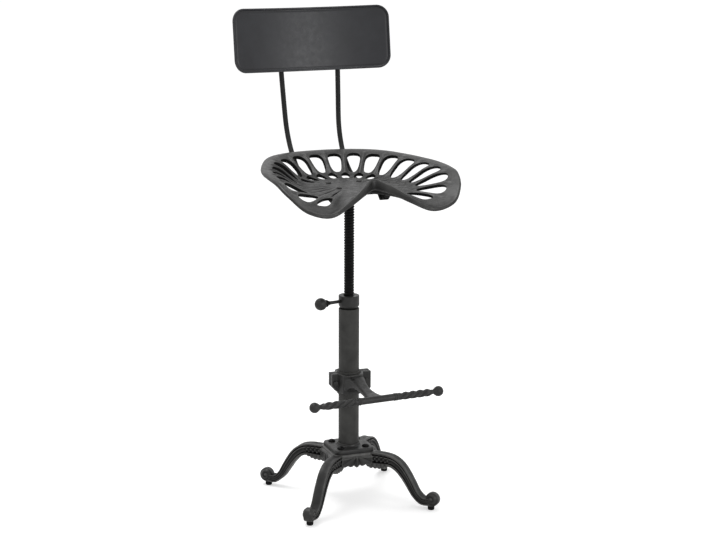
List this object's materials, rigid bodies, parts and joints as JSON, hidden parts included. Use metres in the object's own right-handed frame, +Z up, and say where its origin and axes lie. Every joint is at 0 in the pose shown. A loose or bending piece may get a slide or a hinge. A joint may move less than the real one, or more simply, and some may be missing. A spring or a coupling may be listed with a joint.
{
  "type": "tractor seat stool",
  "caption": "Cast tractor seat stool: pierced dished seat with a curved backrest, screw spindle in a column, sliding footrest and scroll-footed base.",
  "frame": {"origin": "on the floor under the middle of the whole stool", "axes": "+Z up along the column, -Y towards the footrest and the front of the seat, +Y towards the backrest, +X to the right as seen from the front"},
  "size_m": [0.3858, 0.45, 1.0007],
  "materials": {
    "cast_black": "satin",
    "sheet_black": "satin",
    "dark_steel": "satin",
    "glide_rubber": "matte",
    "bush_plastic": "matte"
  },
  "bodies": {
    "base": {"base_casting": "cast_black", "glide_right_rear": "glide_rubber", "glide_left_rear": "glide_rubber", "glide_left_front": "glide_rubber", "glide_right_front": "glide_rubber", "column_flange": "cast_black", "column_tube": "cast_black", "flange_bolt_1": "dark_steel", "flange_bolt_2": "dark_steel", "flange_bolt_3": "dark_steel", "flange_bolt_4": "dark_steel", "flange_nut_1": "dark_steel", "flange_nut_2": "dark_steel", "flange_nut_3": "dark_steel", "flange_nut_4": "dark_steel", "thread_insert": "dark_steel"},
    "guide": {"guide_bush": "bush_plastic"},
    "seat": {"spindle": "dark_steel", "bush_washer": "dark_steel", "bush_screw": "dark_steel", "seat_bracket": "dark_steel", "spindle_collar": "dark_steel", "seat_casting": "cast_black", "seat_nut_1": "dark_steel", "seat_nut_2": "dark_steel", "seat_nut_3": "dark_steel", "seat_nut_4": "dark_steel", "seat_bolt_1": "dark_steel", "seat_bolt_2": "dark_steel", "seat_bolt_3": "dark_steel", "seat_bolt_4": "dark_steel", "backrest": "sheet_black", "backrest_rod_left": "dark_steel", "backrest_rod_right": "dark_steel", "rod_saddle_left": "dark_steel", "rod_saddle_right": "dark_steel", "rod_nut_front_left": "dark_steel", "rod_nut_inner_left": "dark_steel", "rod_nut_front_right": "dark_steel", "rod_nut_inner_right": "dark_steel", "saddle_screw_left_upper": "dark_steel", "saddle_screw_left_lower": "dark_steel", "saddle_screw_right_upper": "dark_steel", "saddle_screw_right_lower": "dark_steel"},
    "lock": {"lock_collar": "cast_black", "lock_lever": "dark_steel", "lock_ball": "cast_black", "lever_ferrule": "dark_steel"},
    "sleeve": {"footrest_sleeve": "cast_black"},
    "footrest": {"clamp_rear": "cast_black", "clamp_arm": "cast_black", "foot_bar": "cast_black", "clamp_bolt_left": "dark_steel", "clamp_bolt_right": "dark_steel", "clamp_nut_left": "dark_steel", "clamp_nut_right": "dark_steel", "foot_bar_ball_left": "cast_black", "foot_bar_ball_right": "cast_black"}
  },
  "joints": [
    {"name": "seat_rise", "type": "slide", "parent": "base", "child": "guide", "axis": [0, 0, 1], "range_m": [-0.1685, 0.0285]},
    {"name": "seat_turn", "type": "hinge", "parent": "guide", "child": "seat", "pos_m": [0, -0.03739, 0.333], "axis": [0, 0, 1], "range_deg": [-10800, 1800]},
    {"name": "lock_swing", "type": "hinge", "parent": "base", "child": "lock", "pos_m": [0, -0.03739, 0.4208], "axis": [0, 0, 1], "range_deg": [0, 60]},
    {"name": "footrest_slide", "type": "slide", "parent": "base", "child": "sleeve", "axis": [0, 0, 1], "range_m": [-0.09, 0.1]},
    {"name": "footrest_swivel", "type": "hinge", "parent": "sleeve", "child": "footrest", "pos_m": [0, -0.03739, 0.252], "axis": [0, 0, 1], "continuous": true}
  ],
  "couplings": [
    {"joint": "seat_rise", "follows": "seat_turn", "m_per_rad": 0.00089127}
  ]
}
